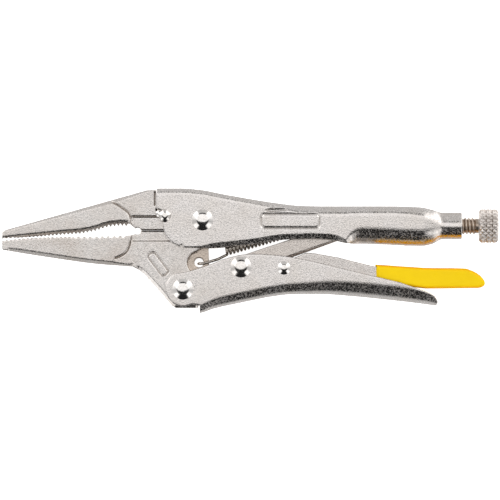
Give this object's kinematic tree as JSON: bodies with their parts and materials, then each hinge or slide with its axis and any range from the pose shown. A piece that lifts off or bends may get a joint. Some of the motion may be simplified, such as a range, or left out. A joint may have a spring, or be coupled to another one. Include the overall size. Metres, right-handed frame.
{
  "type": "locking pliers",
  "caption": "Long-nose locking pliers with folded steel handles, toggle linkage, adjusting screw with knurled knob, wire cutter and yellow dipped release lever.",
  "frame": {"origin": "centre of the footprint, on the surface the tool lies on", "axes": "+X from the jaw tips to the adjusting screw's knob, +Y from the lower handle to the upper handle, +Z across the tool, away from the surface"},
  "size_m": [0.2249, 0.0566, 0.019],
  "materials": {
    "nickel_sheet": "satin nickel plate on folded sheet",
    "nickel_forged": "satin nickel plate on forged steel",
    "weld": "plated weld metal, rippled and bright",
    "rivet_steel": "plated rivet heads, bright",
    "spring_wire": "plated spring wire",
    "screw_steel": "plated, rolled thread and diamond knurl",
    "yellow_vinyl": "dipped vinyl, soft gloss"
  },
  "bodies": {
    "upper_handle": {"upper_handle": "nickel_sheet", "fixed_jaw": "nickel_forged", "weld_bead_left": "weld", "weld_bead_right": "weld", "jaw_pivot_rivet": "rivet_steel", "jaw_spring": "spring_wire"},
    "moving_jaw": {"moving_jaw": "nickel_forged"},
    "lower_handle": {"lower_handle": "nickel_sheet", "handle_pivot_rivet": "rivet_steel", "link_pivot_rivet": "rivet_steel", "lever_pivot_rivet": "rivet_steel"},
    "toggle_link": {"toggle_link": "nickel_sheet"},
    "release_lever": {"release_lever": "nickel_sheet", "lever_sleeve": "yellow_vinyl"},
    "adjusting_screw": {"adjusting_screw": "screw_steel"},
    "screw_knob": {"screw_knob": "screw_steel"}
  },
  "joints": [
    {"name": "jaw_pivot", "type": "hinge", "parent": "upper_handle", "child": "moving_jaw", "pos_m": [-0.0215, 0.0138, 0.0095], "axis": [0, 0, 1], "range_deg": [0, 25], "deforming": ["jaw_spring"]},
    {"name": "handle_pivot", "type": "hinge", "parent": "moving_jaw", "child": "lower_handle", "pos_m": [-0.0304, -0.0175, 0.0095], "axis": [0, 0, 1], "range_deg": [-73, 0]},
    {"name": "link_pivot", "type": "hinge", "parent": "lower_handle", "child": "toggle_link", "pos_m": [-0.0041, -0.0075, 0.0095], "axis": [0, 0, 1], "range_deg": [0, 78]},
    {"name": "lever_pivot", "type": "hinge", "parent": "lower_handle", "child": "release_lever", "pos_m": [0.0154, -0.008, 0.0095], "axis": [0, 0, 1], "range_deg": [-2.5, 0]},
    {"name": "screw_travel", "type": "slide", "parent": "upper_handle", "child": "adjusting_screw", "axis": [1, 0, 0], "range_m": [0, 0.0125]},
    {"name": "knob_turn", "type": "hinge", "parent": "adjusting_screw", "child": "screw_knob", "pos_m": [0.1082, 0.01107, 0.0095], "axis": [1, 0, 0], "range_deg": [0, 2820]}
  ],
  "couplings": [
    {"joint": "handle_pivot", "follows": "jaw_pivot", "ratio": -2.9},
    {"joint": "link_pivot", "follows": "jaw_pivot", "ratio": 3.1},
    {"joint": "knob_turn", "follows": "screw_travel", "rad_per_m": 3927}
  ]
}
